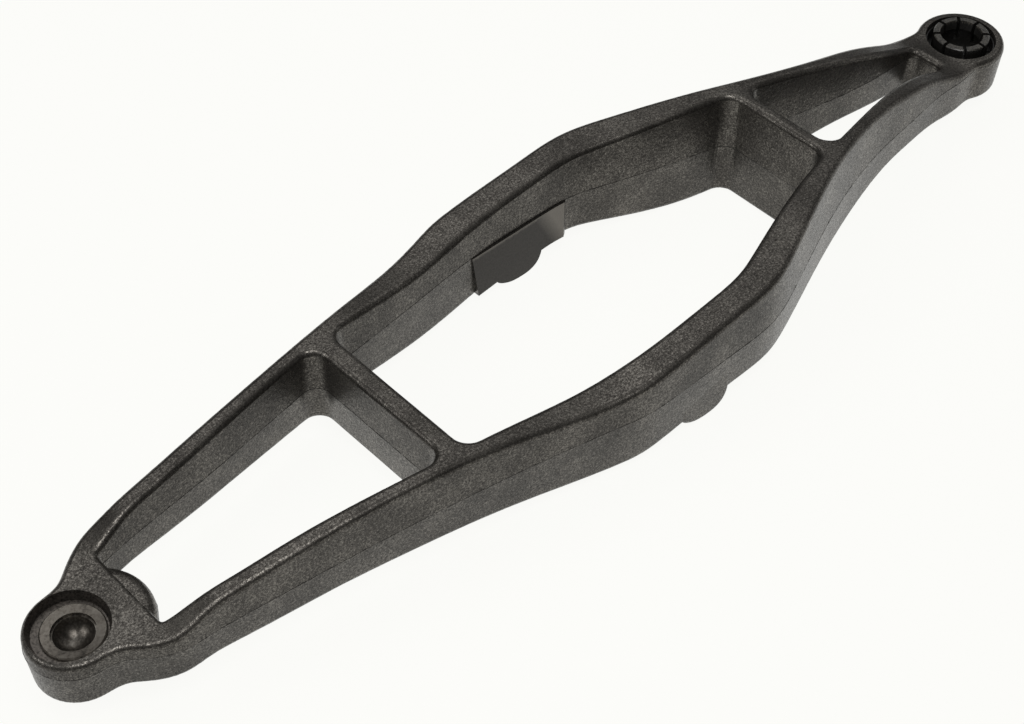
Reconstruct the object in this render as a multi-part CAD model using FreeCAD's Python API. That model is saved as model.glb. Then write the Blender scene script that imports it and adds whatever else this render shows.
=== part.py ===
import FreeCAD, Part
import math
import os

# Clutch release fork: a one-piece casting with a pressed-in ball cup at the
# near end and a snap-in pivot socket at the far end.
# Frame: origin on the axis of the ball cup at the height of the mould parting
# plane, +X towards the pivot end, +Z up. The fork is mirror-symmetric in Y.

# ---- sizes in mm ----------------------------------------------------------
centreDistance = 340.0
stationSpan = 340.0
draft = 0.06
barUnderDraft = 0.112
mouldDepth = 26.0
topEdgeRadius = 1.7
bottomEdgeRadius = 1.6

# near boss and its shelf
nearBossRadius = 12.4
nearBossTop = 4.5
nearBossBottom = -11.3
nearFlareAngle = 99.7
shelfRadius = 14.8
shelfCentre = 6.2
shelfEdgeRadius = 3.7
shelfBack = 11.7

# far boss
farBossRadius = 13.95
farBossTop = 1.9
farBossBottom = -13.7
farFlareAngle = 113.3

# crossbars and windows at the parting plane
nearWindowStart = 16.6
nearBarStart = 94.4
nearBarEnd = 102.0
farBarStart = 247.6
farBarEnd = 254.1
farWindowEnd = 323.2
notchRadius = 1.3
nearWindowCorner = 4.6
centreWindowCorner = 5.0
farWindowCorner = 4.8
farWindowEndCorner = 3.0

# rail outlines at the parting plane: station, half width
outerStations = [
    (4.0, 13.3), (8.0, 16.0), (12.0, 18.8), (17.0, 20.9), (24.0, 21.5),
    (34.0, 22.5), (60.0, 25.9), (110.0, 34.3), (130.0, 38.6), (144.0, 42.0),
    (151.0, 43.5), (158.0, 44.0), (185.0, 43.9), (202.0, 43.0), (215.0, 38.7),
    (250.0, 24.7), (285.0, 16.1), (300.0, 14.4), (315.0, 12.8), (327.0, 12.7),
]
innerStations = [
    (8.0, 11.5), (24.0, 14.8), (50.0, 18.1), (100.0, 25.8), (130.0, 29.1),
    (158.0, 32.3), (184.0, 32.6), (198.0, 31.5), (205.0, 29.4), (230.0, 21.5),
    (265.0, 13.6), (285.0, 9.3), (303.0, 6.7), (332.0, 6.2),
]

# side view: station, height of the top and of the underside
topStations = [
    (9.0, 4.5), (13.0, 4.7), (18.0, 5.8), (26.0, 8.7), (36.0, 10.1),
    (55.0, 11.8), (80.0, 13.0), (112.0, 11.7), (137.0, 9.2), (152.0, 10.3),
    (185.0, 13.8), (215.0, 16.5), (240.0, 18.3), (256.0, 17.7), (285.0, 14.1),
    (308.0, 8.3), (320.0, 3.7), (329.0, 1.9),
]
bottomStations = [
    (8.0, -11.3), (22.0, -9.8), (32.0, -10.1), (60.0, -10.9), (80.0, -12.1),
    (110.0, -14.4), (136.0, -17.4), (148.0, -17.7), (160.0, -16.7), (182.0, -14.7),
    (200.0, -14.7), (212.0, -16.3), (232.0, -18.8), (250.0, -18.7), (272.0, -15.2),
    (290.0, -11.7), (315.0, -12.8), (332.0, -13.7),
]

# cam lobes under the rails and their milled inner flats
lobeOutline = [
    (165.8, -13.0), (167.0, -16.2), (169.2, -17.8), (172.0, -19.0), (176.3, -19.6),
    (180.3, -19.2), (182.6, -17.9), (183.9, -16.0), (184.6, -13.0),
]
lobeTop = -3.0
lobeOuter = 43.45
lobeEdgeRadius = 1.1
flatHalfWidth = 31.9
flatStart = 156.9
flatStartLean = 0.145
flatEnd = 185.5
flatTop = -0.25
flatBack = 38.0
flatLift = 0.35
runOutRadius = 75.0
runOutEnd = 193.2
runOutTail = 1.4
runOutSink = 0.6

# ball cup in the near boss
cupRadius = 8.2
cupTop = 2.6
cupFloor = -7.0
cupEdge = 0.35
cupMouthRadius = 5.6
cupMouthDrop = 0.45
cupLipDepth = 0.9
cupLedge = 0.45
cupBallDepth = 3.9
cupFlatRadius = 0.8
spotRadius = 9.4
spotFloor = 1.7
spotOffsetX = -0.55
spotOffsetY = 0.75

# pivot socket in the far boss
socketRadius = 11.2
socketFlangeTop = 0.2
socketFloor = -9.5
fingerCount = 8
fingerTop = 3.5
fingerOuterRadius = 8.9
fingerTipRadius = 6.2
fingerTurn = 0.0
slotWidth = 1.1
slotFloor = -4.2
ballRadius = 7.3
ballCentre = -3.2
grooveRadius = 10.5
grooveFloor = -3.6

stretch = centreDistance / stationSpan
pivotX = centreDistance
farSide = 400.0


# ---- helpers ----------------------------------------------------------------
def vec(x, y, z=0.0):
    return FreeCAD.Vector(x, y, z)


def splineThrough(points, startDirection, endDirection):
    curve = Part.BSplineCurve()
    curve.interpolate(
        Points=points,
        InitialTangent=startDirection,
        FinalTangent=endDirection,
        Scale=False,
    )
    return curve


def shifted(curve, points, distance, height):
    """Points moved sideways off the curve (left of its direction is positive)."""
    moved = []
    for point in points:
        tangent = curve.tangent(curve.parameter(point))[0]
        moved.append(vec(
            point.x - tangent.y * distance,
            point.y + tangent.x * distance,
            height,
        ))
    return moved


def mirroredY(points):
    return [vec(p.x, -p.y, p.z) for p in points]


def solidFrom(shape):
    return shape.Solids[0] if shape.Solids else shape


def box(x0, x1, y0, y1, z0, z1):
    return Part.makeBox(x1 - x0, y1 - y0, z1 - z0, vec(x0, y0, z0))


def upsideDown(shape):
    return shape.mirror(vec(0, 0, 0), vec(0, 0, 1))


def filletWhere(solid, radius, test):
    chosen = [edge for edge in solid.Edges if test(edge)]
    return solid.makeFillet(radius, chosen)


# ---- outlines ----------------------------------------------------------------
def outerRail():
    start = math.radians(nearFlareAngle)
    end = math.radians(farFlareAngle)
    points = [vec(nearBossRadius * math.cos(start), nearBossRadius * math.sin(start))]
    points += [vec(x * stretch, y) for x, y in outerStations]
    points.append(vec(
        pivotX + farBossRadius * math.cos(end),
        farBossRadius * math.sin(end),
    ))
    startDirection = vec(math.sin(start), -math.cos(start))
    endDirection = vec(math.sin(end), -math.cos(end))
    return splineThrough(points, startDirection, endDirection), points, startDirection, endDirection


def innerRail():
    points = [vec(x * stretch, y) for x, y in innerStations]
    first = points[1].sub(points[0])
    last = points[-1].sub(points[-2])
    first.normalize()
    last.normalize()
    return splineThrough(points, first, last), points, first, last


def flipped(direction):
    return vec(direction.x, -direction.y, direction.z)


def outerWire(height):
    curve, points, first, last = outerRail()
    inset = -draft * height
    upper = shifted(curve, points, inset, height)
    lower = mirroredY(upper)
    nearNose = vec(-nearBossRadius - inset, 0, height)
    farNose = vec(pivotX + farBossRadius + inset, 0, height)
    edges = [
        splineThrough(upper, first, last).toShape(),
        Part.Arc(upper[-1], farNose, lower[-1]).toShape(),
        splineThrough(lower, flipped(first), flipped(last)).toShape(),
        Part.Arc(lower[0], nearNose, upper[0]).toShape(),
    ]
    return Part.Wire(Part.__sortEdges__(edges))


def innerWire(height):
    curve, points, first, last = innerRail()
    upper = shifted(curve, points, draft * height, height)
    lower = mirroredY(upper)
    edges = [
        splineThrough(upper, first, last).toShape(),
        Part.makeLine(upper[-1], lower[-1]),
        splineThrough(lower, flipped(first), flipped(last)).toShape(),
        Part.makeLine(lower[0], upper[0]),
    ]
    return Part.Wire(Part.__sortEdges__(edges))


def draftedSolid(wireAt):
    return Part.makeLoft([wireAt(0.0), wireAt(mouldDepth)], True, True)


# ---- mould halves -------------------------------------------------------------
def windowPlug(railGap, window, startDraft):
    """A window as the mould fills it: the gap between the rails, cut off at two
    cross walls that lean back."""
    startX, endX, startCorner, endCorner = window
    startX = startX * stretch
    endX = endX * stretch
    profile = Part.makePolygon([
        vec(startX, -60, 0),
        vec(endX, -60, 0),
        vec(endX + draft * mouldDepth, -60, mouldDepth),
        vec(startX - startDraft * mouldDepth, -60, mouldDepth),
        vec(startX, -60, 0),
    ])
    wedge = Part.Face(profile).extrude(vec(0, 120, 0))
    plug = solidFrom(railGap.common(wedge))
    middle = 0.5 * (startX + endX)

    def upright(edge, nearStart):
        a = edge.Vertexes[0].Point
        b = edge.Vertexes[-1].Point
        spansHeight = abs(a.z - b.z) > 0.9 * mouldDepth
        return spansHeight and (0.5 * (a.x + b.x) < middle) == nearStart

    plug = filletWhere(plug, startCorner, lambda e: upright(e, True))
    plug = filletWhere(plug, endCorner, lambda e: upright(e, False))
    return plug


def betweenEnds(parted, deep):
    """Plug with the parting-plane outline of one plug and the far outline of the
    other, so the two mould halves meet without a step."""
    base = min(parted.Faces, key=lambda f: f.BoundBox.ZMax)
    far = max(deep.Faces, key=lambda f: f.BoundBox.ZMin)
    return Part.makeLoft([base.OuterWire, far.OuterWire], True, True)


def sideProfile(stations, endHeight):
    """Everything between the parting plane and the top (or underside) line."""
    points = [vec(x * stretch, 0, z) for x, z in stations]
    curve = splineThrough(points, vec(1, 0, 0), vec(1, 0, 0))
    left = vec(-40, 0, points[0].z)
    right = vec(farSide, 0, endHeight)
    edges = [
        Part.makeLine(left, points[0]),
        curve.toShape(),
        Part.makeLine(points[-1], right),
        Part.makeLine(right, vec(farSide, 0, 0)),
        Part.makeLine(vec(farSide, 0, 0), vec(-40, 0, 0)),
        Part.makeLine(vec(-40, 0, 0), left),
    ]
    face = Part.Face(Part.Wire(Part.__sortEdges__(edges)))
    face.translate(vec(0, -80, 0))
    return face.extrude(vec(0, 160, 0))


def halfCasting(blank, plugs, profile, edgeRadius):
    half = solidFrom(blank.common(profile))
    for plug in plugs:
        half = solidFrom(half.cut(plug))

    def onRim(edge):
        low = min(abs(edge.BoundBox.ZMin), abs(edge.BoundBox.ZMax))
        return low > 1.0 and bendAt(half, edge) > 30.0

    return filletWhere(half, edgeRadius, onRim)


def bendAt(shape, edge):
    """Angle in degrees between the two faces that meet in an edge."""
    faces = [face for face in shape.Faces if any(e.isSame(edge) for e in face.Edges)]
    if len(faces) != 2:
        return 0.0
    point = edge.valueAt(0.5 * (edge.FirstParameter + edge.LastParameter))
    normals = [face.normalAt(*face.Surface.parameter(point)) for face in faces]
    return math.degrees(normals[0].getAngle(normals[1]))


def castingHalves():
    blank = draftedSolid(outerWire)
    gap = draftedSolid(innerWire)
    windows = [
        (nearWindowStart, nearBarStart, notchRadius, nearWindowCorner),
        (nearBarEnd, farBarStart, centreWindowCorner, centreWindowCorner),
        (farBarEnd, farWindowEnd, farWindowCorner, farWindowEndCorner),
    ]
    upperPlugs = [windowPlug(gap, window, draft) for window in windows]
    lowerPlugs = [upsideDown(plug) for plug in upperPlugs[:1]]
    for plug, window in zip(upperPlugs[1:], windows[1:]):
        leaned = windowPlug(gap, window, barUnderDraft)
        lowerPlugs.append(upsideDown(betweenEnds(plug, leaned)))
    upperSide = sideProfile(topStations, farBossTop)
    lowerSide = sideProfile(bottomStations, farBossBottom)
    top = halfCasting(blank, upperPlugs, upperSide, topEdgeRadius)
    bottom = halfCasting(upsideDown(blank), lowerPlugs, lowerSide, bottomEdgeRadius)
    return top, bottom


def turned(points, centreX):
    """Solid of revolution from (radius, height) points; a point with three
    values is the middle of an arc."""
    edges = []
    previous = None
    through = None
    for point in points:
        here = vec(centreX + point[0], 0, point[1])
        if len(point) == 3:
            through = here
            continue
        if previous is not None:
            if through is None:
                edges.append(Part.makeLine(previous, here))
            else:
                edges.append(Part.Arc(previous, through, here).toShape())
                through = None
        previous = here
    wire = Part.Wire(edges)
    return Part.Face(wire).revolve(vec(centreX, 0, 0), vec(0, 0, 1), 360)


def shelf():
    """Round shelf behind the ball cup, level with the boss top."""
    topInset = draft * nearBossTop
    lowInset = draft * abs(nearBossBottom)
    shelfSolid = turned([
        (0.0, nearBossBottom),
        (shelfRadius - lowInset, nearBossBottom),
        (shelfRadius, 0.0),
        (shelfRadius - topInset, nearBossTop),
        (0.0, nearBossTop),
        (0.0, nearBossBottom),
    ], shelfCentre)
    upper = [e for e in shelfSolid.Edges if e.BoundBox.ZMin > nearBossTop - 0.01]
    shelfSolid = shelfSolid.makeFillet(shelfEdgeRadius, upper)
    lower = [e for e in shelfSolid.Edges if e.BoundBox.ZMax < nearBossBottom + 0.01]
    shelfSolid = shelfSolid.makeFillet(bottomEdgeRadius, lower)
    keep = box(shelfBack, 60, -40, 40, -60, 60)
    return shelfSolid.common(keep)


def lobe(side):
    """Rounded cam pad hanging below one rail."""
    points = [vec(x * stretch, 0, z) for x, z in lobeOutline]
    curve = Part.BSplineCurve()
    curve.interpolate(points)
    topLeft = vec(points[0].x, 0, lobeTop)
    topRight = vec(points[-1].x, 0, lobeTop)
    wire = Part.Wire([
        Part.makeLine(topLeft, points[0]),
        curve.toShape(),
        Part.makeLine(points[-1], topRight),
        Part.makeLine(topRight, topLeft),
    ])
    face = Part.Face(wire)
    face.translate(vec(0, flatHalfWidth, 0))
    pad = face.extrude(vec(0, lobeOuter - flatHalfWidth, 0))
    lowest = min(z for x, z in lobeOutline)
    rounded = [e for e in pad.Edges if e.BoundBox.ZMin < lowest + 1.0 and e.BoundBox.YMin > lobeOuter - 0.1]
    pad = pad.makeFillet(lobeEdgeRadius, rounded)
    return pad if side > 0 else pad.mirror(vec(0, 0, 0), vec(0, 1, 0))


def flatWire(startX, height):
    """Plan of the stock inside a rail: the flat, its run-out, and a back that
    stays inside the rail."""
    length = runOutEnd - flatEnd
    drop = runOutRadius - math.sqrt(runOutRadius ** 2 - length ** 2)
    halfDrop = runOutRadius - math.sqrt(runOutRadius ** 2 - (0.5 * length) ** 2)
    bendX = flatEnd * stretch
    start = vec(startX, flatHalfWidth, height)
    bend = vec(bendX, flatHalfWidth, height)
    middle = vec(bendX + 0.5 * length, flatHalfWidth - halfDrop, height)
    end = vec(bendX + length, flatHalfWidth - drop, height)
    tail = vec(end.x + runOutTail, flatHalfWidth + runOutSink, height)
    backRight = vec(tail.x, flatBack, height)
    backLeft = vec(startX, flatBack, height)
    return Part.Wire([
        Part.makeLine(start, bend),
        Part.Arc(bend, middle, end).toShape(),
        Part.makeLine(end, tail),
        Part.makeLine(tail, backRight),
        Part.makeLine(backRight, backLeft),
        Part.makeLine(backLeft, start),
    ])


def milledFlat(side, profile):
    """Stock left inside a rail, milled to a flat with a run-out at its far end."""
    startX = flatStart * stretch
    upper = flatWire(startX, flatTop)
    lower = flatWire(startX + flatStartLean * mouldDepth, flatTop - mouldDepth)
    pad = Part.makeLoft([upper, lower], True, True)
    pad = solidFrom(pad.common(profile))
    return pad if side > 0 else pad.mirror(vec(0, 0, 0), vec(0, 1, 0))


# ---- the nodes ----------------------------------------------------------------
def forkBody():
    top, bottom = castingHalves()
    under = sideProfile(bottomStations, farBossBottom)
    under.translate(vec(0, 0, flatLift))
    extras = [shelf()]
    for side in (1, -1):
        extras.append(lobe(side))
        extras.append(milledFlat(side, under))
    body = top.fuse([bottom] + extras)
    spot = Part.makeCone(
        spotRadius,
        spotRadius + 0.35 * mouldDepth,
        mouldDepth,
        vec(spotOffsetX, spotOffsetY, spotFloor),
    )
    cupBore = Part.makeCylinder(cupRadius, mouldDepth, vec(0, 0, cupFloor))
    socketBore = Part.makeCylinder(socketRadius, mouldDepth, vec(pivotX, 0, socketFloor))
    body = body.cut([spot, cupBore, socketBore])
    return solidFrom(body)


def ballCup():
    mouth = cupTop - cupMouthDrop
    ledge = mouth - cupLipDepth
    seatRadius = cupMouthRadius - cupLedge
    deep = ledge - cupBallDepth
    sphere = (seatRadius ** 2 + cupBallDepth ** 2) / (2.0 * cupBallDepth)
    midRadius = 0.72 * seatRadius
    midHeight = deep + sphere - math.sqrt(sphere ** 2 - midRadius ** 2)
    flatHeight = deep + sphere - math.sqrt(sphere ** 2 - cupFlatRadius ** 2)
    return turned([
        (0.0, cupFloor),
        (cupRadius, cupFloor),
        (cupRadius, cupTop - cupEdge),
        (cupRadius - cupEdge, cupTop),
        (cupMouthRadius, mouth),
        (cupMouthRadius, ledge),
        (seatRadius, ledge),
        (midRadius, midHeight, True),
        (cupFlatRadius, flatHeight),
        (0.0, flatHeight),
        (0.0, cupFloor),
    ], 0.0)


def pivotSocket():
    mouthHeight = ballCentre + math.sqrt(ballRadius ** 2 - fingerTipRadius ** 2)
    deep = ballCentre - ballRadius
    leadRadius = fingerTipRadius + 0.25 * (fingerOuterRadius - fingerTipRadius)
    ring = turned([
        (0.0, socketFloor),
        (socketRadius, socketFloor),
        (socketRadius, socketFlangeTop - 0.3),
        (socketRadius - 0.3, socketFlangeTop),
        (grooveRadius, socketFlangeTop),
        (grooveRadius, grooveFloor),
        (fingerOuterRadius, grooveFloor),
        (fingerOuterRadius, fingerTop - 0.3),
        (fingerOuterRadius - 0.3, fingerTop),
        (leadRadius, fingerTop),
        (fingerTipRadius, mouthHeight),
        (0.0, mouthHeight),
        (0.0, socketFloor),
    ], pivotX)
    ball = Part.makeSphere(ballRadius, vec(pivotX, 0, ballCentre))
    cutters = [ball]
    for index in range(fingerCount):
        slot = box(0, grooveRadius - 0.2, -0.5 * slotWidth, 0.5 * slotWidth, slotFloor, 10)
        slot.rotate(vec(0, 0, 0), vec(0, 0, 1), fingerTurn + index * 360.0 / fingerCount)
        slot.translate(vec(pivotX, 0, 0))
        cutters.append(slot)
    floorCap = box(pivotX - 12, pivotX + 12, -12, 12, socketFloor - 5, socketFloor + 1.2)
    ring = ring.cut(cutters)
    base = Part.makeCylinder(socketRadius, 1.2, vec(pivotX, 0, socketFloor))
    return solidFrom(ring.cut(floorCap).fuse(base).removeSplitter())


nodes = {
    "fork_body": forkBody,
    "ball_cup": ballCup,
    "pivot_socket": pivotSocket,
}

os.makedirs("parts", exist_ok=True)
for name, make in nodes.items():
    shape = make()
    shape.exportStep("parts/" + name + ".step")
    bounds = shape.BoundBox
    print(name, "solids", len(shape.Solids), "valid", shape.isValid())
    print("  x %.2f..%.2f y %.2f..%.2f z %.2f..%.2f" % (
        bounds.XMin, bounds.XMax, bounds.YMin, bounds.YMax, bounds.ZMin, bounds.ZMax))
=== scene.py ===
import math

import bmesh
import bpy
from mathutils import Matrix, Vector, noise


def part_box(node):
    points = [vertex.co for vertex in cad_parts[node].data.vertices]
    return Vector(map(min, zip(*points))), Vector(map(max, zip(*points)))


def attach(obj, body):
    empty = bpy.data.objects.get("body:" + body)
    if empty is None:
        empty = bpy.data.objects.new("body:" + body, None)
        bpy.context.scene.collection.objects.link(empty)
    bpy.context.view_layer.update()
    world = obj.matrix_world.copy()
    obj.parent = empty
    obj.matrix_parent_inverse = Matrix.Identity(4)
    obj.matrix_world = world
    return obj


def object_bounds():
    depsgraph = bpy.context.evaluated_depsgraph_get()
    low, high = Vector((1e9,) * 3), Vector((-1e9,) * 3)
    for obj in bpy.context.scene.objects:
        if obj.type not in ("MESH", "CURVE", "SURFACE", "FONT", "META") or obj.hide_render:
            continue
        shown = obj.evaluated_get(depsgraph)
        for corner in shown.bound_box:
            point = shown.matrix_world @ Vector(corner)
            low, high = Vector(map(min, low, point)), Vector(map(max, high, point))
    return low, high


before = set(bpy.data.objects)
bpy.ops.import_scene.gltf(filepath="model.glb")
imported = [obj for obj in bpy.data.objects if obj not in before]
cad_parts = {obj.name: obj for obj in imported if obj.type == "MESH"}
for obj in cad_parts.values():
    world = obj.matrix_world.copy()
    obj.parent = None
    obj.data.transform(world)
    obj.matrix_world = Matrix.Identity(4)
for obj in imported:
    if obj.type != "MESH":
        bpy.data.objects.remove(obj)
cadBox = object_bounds()
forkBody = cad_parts["fork_body"]
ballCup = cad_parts["ball_cup"]
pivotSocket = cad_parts["pivot_socket"]
mm = 0.001
print("frame loaded: fork body, ball cup and pivot socket")


def linearColour(hexText):
    channels = [int(hexText[i:i + 2], 16) / 255.0 for i in (1, 3, 5)]
    linear = [c / 12.92 if c <= 0.04045 else ((c + 0.055) / 1.055) ** 2.4 for c in channels]
    return (*linear, 1.0)


def newMaterial(name):
    material = bpy.data.materials.new(name)
    material.use_nodes = True
    material.node_tree.nodes.clear()
    return material, material.node_tree


# Adds one node: settings are its fields, values its sockets, links other nodes' outputs.
def addNode(tree, kind, settings=None, values=None, links=None):
    node = tree.nodes.new("ShaderNode" + kind)
    for field, value in (settings or {}).items():
        setattr(node, field, value)
    for socket, value in (values or {}).items():
        node.inputs[socket].default_value = value
    for socket, source in (links or {}).items():
        tree.links.new(source, node.inputs[socket])
    return node


def setRamp(node, stops):
    ramp = node.color_ramp
    while len(ramp.elements) < len(stops):
        ramp.elements.new(0.5)
    for element, (position, colour) in zip(ramp.elements, stops):
        element.position = position
        element.color = linearColour(colour)


def noiseAt(tree, place, sizeMm, detail=3.0, roughness=0.6):
    return addNode(
        tree, "TexNoise", None,
        {"Scale": 1 / (sizeMm * mm), "Detail": detail, "Roughness": roughness},
        {"Vector": place.outputs["Object"]},
    )


# Cast iron, shot-blasted and lightly oiled: a dark grey skin of small craters
# whose lips catch the light as fine sparkle.
castSkin = {
    "darkColour": "#22201d",
    "midColour": "#474440",
    "lightColour": "#837f78",
    "oilColour": "#2c2a27",
    "blotchMm": 16.0,
    "grainMm": 0.62,
    "craterMm": 1.1,
    "sparkleMm": 0.4,
    "roughness": 0.36,
    "sparkleRoughness": 0.24,
    "metallic": 0.8,
    "bumpMm": 0.06,
}


def castIronMaterial():
    material, tree = newMaterial("shotBlastedCastIron")
    place = addNode(tree, "TexCoord")
    blotch = noiseAt(tree, place, castSkin["blotchMm"], 2.0)
    grain = noiseAt(tree, place, castSkin["grainMm"], 3.0, 0.7)
    fine = noiseAt(tree, place, castSkin["sparkleMm"], 2.0, 0.7)
    craters = addNode(
        tree, "TexVoronoi", {"feature": "SMOOTH_F1"},
        {"Scale": 1 / (castSkin["craterMm"] * mm), "Smoothness": 0.35},
        {"Vector": place.outputs["Object"]},
    )
    speckle = addNode(
        tree, "Mix", {"data_type": "FLOAT"}, {0: 0.5},
        {2: grain.outputs["Fac"], 3: fine.outputs["Fac"]},
    )
    mixed = addNode(
        tree, "Mix", {"data_type": "FLOAT"}, {0: 0.8},
        {2: blotch.outputs["Fac"], 3: speckle.outputs[0]},
    )
    colours = addNode(tree, "ValToRGB", None, None, {"Fac": mixed.outputs[0]})
    setRamp(colours, [
        (0.36, castSkin["darkColour"]),
        (0.5, castSkin["midColour"]),
        (0.66, castSkin["lightColour"]),
    ])
    sheen = addNode(tree, "MapRange", None, {
        "From Min": 0.4, "From Max": 0.62,
        "To Min": castSkin["roughness"] + 0.1, "To Max": castSkin["sparkleRoughness"],
    }, {"Value": speckle.outputs[0]})
    height = addNode(
        tree, "Math", {"operation": "ADD"}, None,
        {0: craters.outputs["Distance"], 1: speckle.outputs[0]},
    )
    bump = addNode(
        tree, "Bump", None, {"Strength": 0.6, "Distance": castSkin["bumpMm"] * mm},
        {"Height": height.outputs[0]},
    )
    metal = addNode(
        tree, "BsdfPrincipled", None, {"Metallic": castSkin["metallic"]},
        {
            "Base Color": colours.outputs["Color"],
            "Roughness": sheen.outputs["Result"],
            "Normal": bump.outputs["Normal"],
        },
    )
    addNode(tree, "OutputMaterial", None, None, {"Surface": metal.outputs["BSDF"]})
    return material


# Machined cast iron: smoother than the skin, with faint cutter marks.
milledFace = {
    "colour": "#383532",
    "runOutAndHighlightColour": "#6c6862",
    "markMm": 0.6,
    "roughness": 0.42,
    "metallic": 0.85,
    "bumpMm": 0.02,
    "runOutStart": 184.0,
    "runOutLean": 0.54,
    "runOutFade": 3.0,
    # the next three size the painted highlight band along the flat's upper edge
    "paintedHighlightDepth": 1.3,
    "paintedHighlightFade": 0.9,
    "paintedHighlightShare": 0.7,
    "raggedMm": 1.6,
}


def machinedMaterial(name, colour, roughness):
    material, tree = newMaterial(name)
    place = addNode(tree, "TexCoord")
    marks = noiseAt(tree, place, milledFace["markMm"], 3.0, 0.6)
    colours = addNode(tree, "ValToRGB", None, None, {"Fac": marks.outputs["Fac"]})
    setRamp(colours, [(0.3, castSkin["oilColour"]), (0.6, colour)])
    bump = addNode(
        tree, "Bump", None, {"Strength": 0.5, "Distance": milledFace["bumpMm"] * mm},
        {"Height": marks.outputs["Fac"]},
    )
    metal = addNode(
        tree, "BsdfPrincipled", None,
        {"Metallic": milledFace["metallic"], "Roughness": roughness},
        {"Base Color": colours.outputs["Color"], "Normal": bump.outputs["Normal"]},
    )
    addNode(tree, "OutputMaterial", None, None, {"Surface": metal.outputs["BSDF"]})
    return material, tree, place, colours, metal


# The flat is dark where the cutter burnished it, and lighter towards its far end, past a line
# leaning with height, where the cutter ran out; along its upper edge it has a painted highlight, a
# ragged bright band.
def milledFlatMaterial():
    material, tree, place, colours, metal = machinedMaterial(
        "milledFlat", milledFace["colour"], milledFace["roughness"])
    axes = addNode(tree, "SeparateXYZ", None, None, {"Vector": place.outputs["Object"]})
    lean = addNode(
        tree, "Math", {"operation": "MULTIPLY_ADD"}, {1: milledFace["runOutLean"]},
        {0: axes.outputs["Z"], 2: axes.outputs["X"]},
    )
    runOut = addNode(tree, "MapRange", None, {
        "From Min": (milledFace["runOutStart"] - milledFace["runOutFade"]) * mm,
        "From Max": (milledFace["runOutStart"] + milledFace["runOutFade"]) * mm,
    }, {"Value": lean.outputs[0]})
    ragged = noiseAt(tree, place, milledFace["raggedMm"], 3.0)
    waved = addNode(
        tree, "Math", {"operation": "MULTIPLY_ADD"}, {1: -milledFace["raggedMm"] * mm},
        {0: ragged.outputs["Fac"], 2: axes.outputs["Z"]},
    )
    # painted highlight: bright band along the flat's upper edge, made ragged by noise
    paintedEdgeHighlight = addNode(tree, "MapRange", None, {
        "From Min": -(milledFace["paintedHighlightDepth"] + milledFace["paintedHighlightFade"]) * mm,
        "From Max": -milledFace["paintedHighlightDepth"] * mm,
        "To Max": milledFace["paintedHighlightShare"],
    }, {"Value": waved.outputs[0]})
    runOutAndPaintedHighlight = addNode(
        tree, "Math", {"operation": "MAXIMUM"}, None,
        {0: runOut.outputs["Result"], 1: paintedEdgeHighlight.outputs["Result"]},
    )
    # mixes in the lighter run-out tone and the painted highlight
    shade = addNode(
        tree, "Mix", {"data_type": "RGBA"}, {7: linearColour(milledFace["runOutAndHighlightColour"])},
        {0: runOutAndPaintedHighlight.outputs[0], 6: colours.outputs["Color"]},
    )
    tree.links.new(shade.outputs[2], metal.inputs["Base Color"])
    return material


# The fork body has the cast skin, and its machined faces are picked out by
# where they lie.
machining = {
    "flatHalfWidth": 31.9,
    "flatStart": 156.9,
    "flatEnd": 193.3,
    "spotColour": "#5e5954",
    "spotRoughness": 0.34,
    "spotCentre": (-0.55, 0.75),
    "spotRadius": 9.4,
    "spotFloor": 1.7,
    "spotFlare": 0.35,
    "spotReach": 14,
}


def machinedSlot(centre, normal):
    x, y, z = (value / mm for value in centre)
    flatGap = abs(abs(y) - machining["flatHalfWidth"])
    inFlatSpan = machining["flatStart"] < x < machining["flatEnd"]
    if z < 0 and inFlatSpan and flatGap < 0.5 and abs(normal.y) > 0.985:
        return 1
    spotX, spotY = machining["spotCentre"]
    reach = math.hypot(x - spotX, y - spotY)
    coneRadius = machining["spotRadius"] + machining["spotFlare"] * (z - machining["spotFloor"])
    onCone = abs(reach - coneRadius) < 0.2 and reach < machining["spotReach"]
    if z > machining["spotFloor"] - 0.02 and onCone:
        return 2
    if abs(z - machining["spotFloor"]) < 0.02 and reach < machining["spotRadius"]:
        return 2
    return 0


def dressForkBody():
    mesh = forkBody.data
    mesh.materials.clear()
    mesh.materials.append(castIronMaterial())
    mesh.materials.append(milledFlatMaterial())
    mesh.materials.append(machinedMaterial(
        "spotFaced", machining["spotColour"], machining["spotRoughness"])[0])
    world = forkBody.matrix_world
    turn = world.to_3x3()
    for polygon in mesh.polygons:
        polygon.material_index = machinedSlot(world @ polygon.center, turn @ polygon.normal)


# Ball cup: turned steel, with painted shade darkening the hollow.
cupFinish = {
    "ringColour": "#68635c",
    "paintedShadeHollowColour": "#494540",
    "ringRoughness": 0.36,
    "hollowRoughness": 0.34,
    "hollowRadius": 5.7,
    "rimDepth": 0.6,
    "metallic": 0.9,
    "bumpMm": 0.03,
    "grainMm": 0.7,
}


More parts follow.
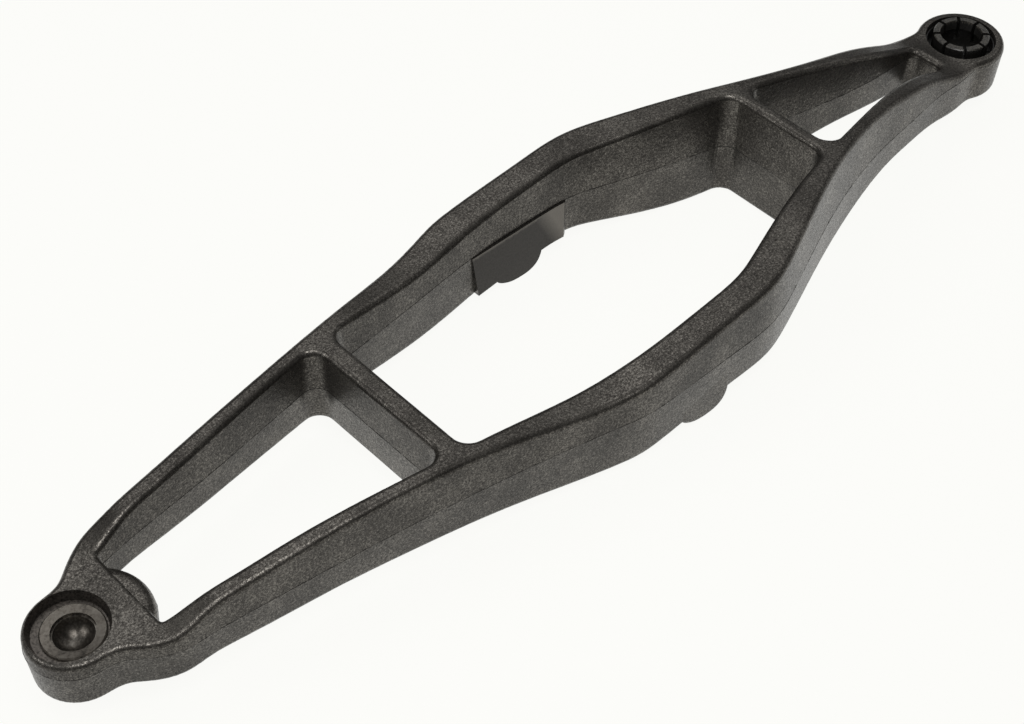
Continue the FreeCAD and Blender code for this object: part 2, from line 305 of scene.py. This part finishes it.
def turnedSteelMaterial(name, colour, roughness):
    material, tree = newMaterial(name)
    place = addNode(tree, "TexCoord")
    grain = noiseAt(tree, place, cupFinish["grainMm"], 3.0)
    stain = noiseAt(tree, place, 6 * cupFinish["grainMm"], 2.0)
    shade = addNode(
        tree, "Mix", {"data_type": "FLOAT"}, {0: 0.5},
        {2: stain.outputs["Fac"], 3: grain.outputs["Fac"]},
    )
    colours = addNode(tree, "ValToRGB", None, None, {"Fac": shade.outputs[0]})
    setRamp(colours, [(0.3, castSkin["oilColour"]), (0.5, colour), (0.75, castSkin["lightColour"])])
    bump = addNode(
        tree, "Bump", None, {"Strength": 0.4, "Distance": cupFinish["bumpMm"] * mm},
        {"Height": grain.outputs["Fac"]},
    )
    metal = addNode(
        tree, "BsdfPrincipled", None,
        {"Metallic": cupFinish["metallic"], "Roughness": roughness},
        {"Base Color": colours.outputs["Color"], "Normal": bump.outputs["Normal"]},
    )
    addNode(tree, "OutputMaterial", None, None, {"Surface": metal.outputs["BSDF"]})
    return material


def dressBallCup():
    mesh = ballCup.data
    mesh.materials.clear()
    mesh.materials.append(turnedSteelMaterial(
        "turnedSteel", cupFinish["ringColour"], cupFinish["ringRoughness"]))
    mesh.materials.append(turnedSteelMaterial(
        "hollowPaintedShade", cupFinish["paintedShadeHollowColour"], cupFinish["hollowRoughness"]))
    low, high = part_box("ball_cup")
    rim = high.z - cupFinish["rimDepth"] * mm
    world = ballCup.matrix_world
    for polygon in mesh.polygons:
        centre = world @ polygon.center
        inside = math.hypot(centre.x, centre.y) < cupFinish["hollowRadius"] * mm
        # faces inside the hollow, below the rim, get the darker painted-shade material
        polygon.material_index = 1 if inside and centre.z < rim else 0


# Pivot socket: moulded black nylon, with the finger tips painted lighter as a painted highlight.
nylon = {
    "darkColour": "#0c0b0a",
    "colour": "#1a1917",
    "paintedHighlightTipColour": "#48453f",
    "roughness": 0.42,
    "tipRoughness": 0.36,
    "tipDepth": 0.35,
    "grainMm": 0.6,
    "bumpMm": 0.05,
    "refraction": 1.53,
}


def nylonMaterial(name, colour, roughness):
    material, tree = newMaterial(name)
    place = addNode(tree, "TexCoord")
    grain = noiseAt(tree, place, nylon["grainMm"], 3.0)
    tint = addNode(tree, "ValToRGB", None, None, {"Fac": grain.outputs["Fac"]})
    setRamp(tint, [(0.35, nylon["darkColour"]), (0.6, colour)])
    bump = addNode(
        tree, "Bump", None, {"Strength": 0.35, "Distance": nylon["bumpMm"] * mm},
        {"Height": grain.outputs["Fac"]},
    )
    plastic = addNode(
        tree, "BsdfPrincipled", None, {"Roughness": roughness, "IOR": nylon["refraction"]},
        {"Base Color": tint.outputs["Color"], "Normal": bump.outputs["Normal"]},
    )
    addNode(tree, "OutputMaterial", None, None, {"Surface": plastic.outputs["BSDF"]})
    return material


def dressPivotSocket():
    mesh = pivotSocket.data
    mesh.materials.clear()
    mesh.materials.append(nylonMaterial("mouldedBlackNylon", nylon["colour"], nylon["roughness"]))
    mesh.materials.append(nylonMaterial("nylonTipsPaintedHighlight", nylon["paintedHighlightTipColour"], nylon["tipRoughness"]))
    low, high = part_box("pivot_socket")
    world = pivotSocket.matrix_world
    for polygon in mesh.polygons:
        centre = world @ polygon.center
        # the topmost faces of the fingers get the lighter painted-highlight material
        polygon.material_index = 1 if centre.z > high.z - nylon["tipDepth"] * mm else 0


dressForkBody()
dressBallCup()
dressPivotSocket()
print("materials ready")


# Parting flash: the thin ragged ridge that the two mould halves leave, dark
# partly with scale and partly as painted shade for the shadowed parting groove.
flash = {
    "colour": "#1c1a18",
    "reachMm": 0.11,
    "halfHeightMm": 0.17,
    "raggedMm": 2.2,
    "stepMm": 1.0,
    "buriedMm": 0.05,
    "seed": 7.3,
    "metallic": 0.5,
    "roughness": 0.6,
}


def flashScaleAndShadeMaterial():
    material, tree = newMaterial("flashScaleAndPaintedShade")
    metal = addNode(tree, "BsdfPrincipled", None, {
        # near-black base colour: partly scale, partly painted shade along the parting line
        "Base Color": linearColour(flash["colour"]),
        "Metallic": flash["metallic"], "Roughness": flash["roughness"],
    })
    addNode(tree, "OutputMaterial", None, None, {"Surface": metal.outputs["BSDF"]})
    return material


# Edges of the body in the parting plane, with one wall above and one below.
def partingEdges(mesh):
    found = []
    for edge in mesh.edges:
        if len(edge.link_faces) != 2 or any(abs(vert.co.z) > 0.01 * mm for vert in edge.verts):
            continue
        heights = [face.calc_center_median().z for face in edge.link_faces]
        upright = all(abs(face.normal.z) < 0.3 for face in edge.link_faces)
        if upright and min(heights) < 0 < max(heights):
            found.append(edge)
    return found


def ridgeReach(point):
    wave = noise.noise(point / (flash["raggedMm"] * mm) + Vector((flash["seed"], 0, 0)))
    broad = noise.noise(point / (9 * flash["raggedMm"] * mm) + Vector((0, flash["seed"], 0)))
    return flash["reachMm"] * mm * max(0.15, 0.6 + 0.9 * wave + 0.6 * broad)


def insideBox(point):
    low, high = cadBox
    return Vector((
        min(max(point.x, low.x), high.x),
        min(max(point.y, low.y), high.y),
        point.z,
    ))


def buildPartingFlash():
    source = bmesh.new()
    source.from_mesh(forkBody.data)
    source.transform(forkBody.matrix_world)
    bmesh.ops.remove_doubles(source, verts=source.verts, dist=0.001 * mm)
    source.normal_update()
    edges = partingEdges(source)
    outward = {}
    for edge in edges:
        push = sum((face.normal for face in edge.link_faces), Vector())
        push.z = 0.0
        for vert in edge.verts:
            outward[vert.index] = outward.get(vert.index, Vector()) + push
    ridge = bmesh.new()
    half = Vector((0, 0, flash["halfHeightMm"] * mm))
    for edge in edges:
        first, last = edge.verts
        steps = max(1, math.ceil(edge.calc_length() / (flash["stepMm"] * mm)))
        previous = None
        for index in range(steps + 1):
            share = index / steps
            foot = first.co.lerp(last.co, share)
            push = outward[first.index].lerp(outward[last.index], share).normalized()
            buried = foot - push * flash["buriedMm"] * mm
            tip = insideBox(foot + push * ridgeReach(foot))
            here = [ridge.verts.new(p) for p in (buried + half, tip, buried - half)]
            if previous:
                ridge.faces.new((previous[0], here[0], here[1], previous[1]))
                ridge.faces.new((previous[1], here[1], here[2], previous[2]))
            previous = here
    source.free()
    bmesh.ops.remove_doubles(ridge, verts=ridge.verts, dist=0.01 * mm)
    bmesh.ops.recalc_face_normals(ridge, faces=ridge.faces)
    mesh = bpy.data.meshes.new("partingFlash")
    ridge.to_mesh(mesh)
    ridge.free()
    piece = bpy.data.objects.new("partingFlash", mesh)
    bpy.context.scene.collection.objects.link(piece)
    mesh.materials.append(flashScaleAndShadeMaterial())
    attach(piece, "root")
    print("parting flash over", len(edges), "edges")


buildPartingFlash()


# Pale floor, seen white by the camera and in reflections, lit by the lamps alone.
studio = {
    "middle": (0.17, 0.0, 0.0),
    "lampDistance": 1.0,
    "worldColour": "#ffffff",
    "floorColour": "#fdfdfa",
    "floorSize": 6.0,
    "floorSeen": 0.95,
    "worldStrength": 0.1,
}


def buildFloor():
    low, high = cadBox
    bpy.ops.mesh.primitive_plane_add(
        size=studio["floorSize"], location=(studio["middle"][0], studio["middle"][1], low.z))
    floor = bpy.context.object
    floor.name = "studioFloor"
    material, tree = newMaterial("paleStudioFloor")
    rays = addNode(tree, "LightPath")
    mirrored = addNode(
        tree, "Math", {"operation": "ADD"}, None,
        {0: rays.outputs["Is Glossy Ray"], 1: rays.outputs["Is Transmission Ray"]},
    )
    seen = addNode(
        tree, "Math", {"operation": "ADD", "use_clamp": True}, None,
        {0: rays.outputs["Is Camera Ray"], 1: mirrored.outputs[0]},
    )
    amount = addNode(
        tree, "Math", {"operation": "MULTIPLY"}, {1: studio["floorSeen"]},
        {0: seen.outputs[0]},
    )
    paint = addNode(tree, "BsdfDiffuse", None, {"Color": linearColour(studio["floorColour"])})
    glow = addNode(tree, "Emission", None, {
        "Color": linearColour(studio["floorColour"]), "Strength": 1.0,
    })
    both = addNode(
        tree, "MixShader", None, None,
        {0: amount.outputs[0], 1: paint.outputs[0], 2: glow.outputs[0]},
    )
    addNode(tree, "OutputMaterial", None, None, {"Surface": both.outputs[0]})
    floor.data.materials.clear()
    floor.data.materials.append(material)


# Each softbox by its direction from the part, in degrees, its side and power.
lamps = {
    "keySoftbox": {"elevation": 66, "azimuth": 235, "size": 0.5, "power": 4.4},
    "backSoftbox": {"elevation": 58, "azimuth": 80, "size": 0.7, "power": 1.8},
    "farSoftbox": {"elevation": 50, "azimuth": 20, "size": 0.7, "power": 1.0},
    "leftSoftbox": {"elevation": 35, "azimuth": 165, "size": 0.5, "power": 2.8},
    "rightSoftbox": {"elevation": 20, "azimuth": 335, "size": 0.5, "power": 0.3},
}


def addSoftbox(name, setup):
    light = bpy.data.lights.new(name, "AREA")
    light.shape = "SQUARE"
    light.size = setup["size"]
    light.energy = setup["power"]
    lamp = bpy.data.objects.new(name, light)
    bpy.context.scene.collection.objects.link(lamp)
    middle = Vector(studio["middle"])
    elevation = math.radians(setup["elevation"])
    azimuth = math.radians(setup["azimuth"])
    place = middle + studio["lampDistance"] * Vector((
        math.cos(elevation) * math.cos(azimuth),
        math.cos(elevation) * math.sin(azimuth),
        math.sin(elevation),
    ))
    lamp.location = place
    lamp.rotation_euler = (middle - place).to_track_quat("-Z", "Y").to_euler()


def buildLights():
    world = bpy.data.worlds.new("studioWorld")
    bpy.context.scene.world = world
    world.use_nodes = True
    back = world.node_tree.nodes["Background"]
    back.inputs["Color"].default_value = linearColour(studio["worldColour"])
    back.inputs["Strength"].default_value = studio["worldStrength"]
    for name, setup in lamps.items():
        addSoftbox(name, setup)


# Camera by the point it looks at, its direction in degrees and its distance.
cameraSetup = {
    "target": (0.13775, -0.00514, 0.0),
    "azimuth": -43.386,
    "elevation": 46.901,
    "roll": 0.461,
    "distance": 0.51499,
    "lens": 66.83,
    "sensorWidth": 36.0,
}


def buildCamera():
    azimuth = math.radians(cameraSetup["azimuth"])
    elevation = math.radians(cameraSetup["elevation"])
    away = Vector((
        math.sin(azimuth) * math.cos(elevation),
        -math.cos(azimuth) * math.cos(elevation),
        math.sin(elevation),
    ))
    across = Vector((math.cos(azimuth), math.sin(azimuth), 0.0))
    upward = away.cross(across)
    roll = Matrix.Rotation(math.radians(cameraSetup["roll"]), 3, "Z")
    turn = Matrix((across, upward, away)).transposed() @ roll
    lens = bpy.data.cameras.new("studioCamera")
    lens.lens = cameraSetup["lens"]
    lens.sensor_width = cameraSetup["sensorWidth"]
    lens.clip_start = 0.01
    camera = bpy.data.objects.new("studioCamera", lens)
    bpy.context.scene.collection.objects.link(camera)
    place = Vector(cameraSetup["target"]) + away * cameraSetup["distance"]
    camera.matrix_world = Matrix.Translation(place) @ turn.to_4x4()
    bpy.context.scene.camera = camera


buildFloor()
buildLights()
buildCamera()
bpy.context.scene.view_settings.view_transform = "Standard"
print("studio ready")
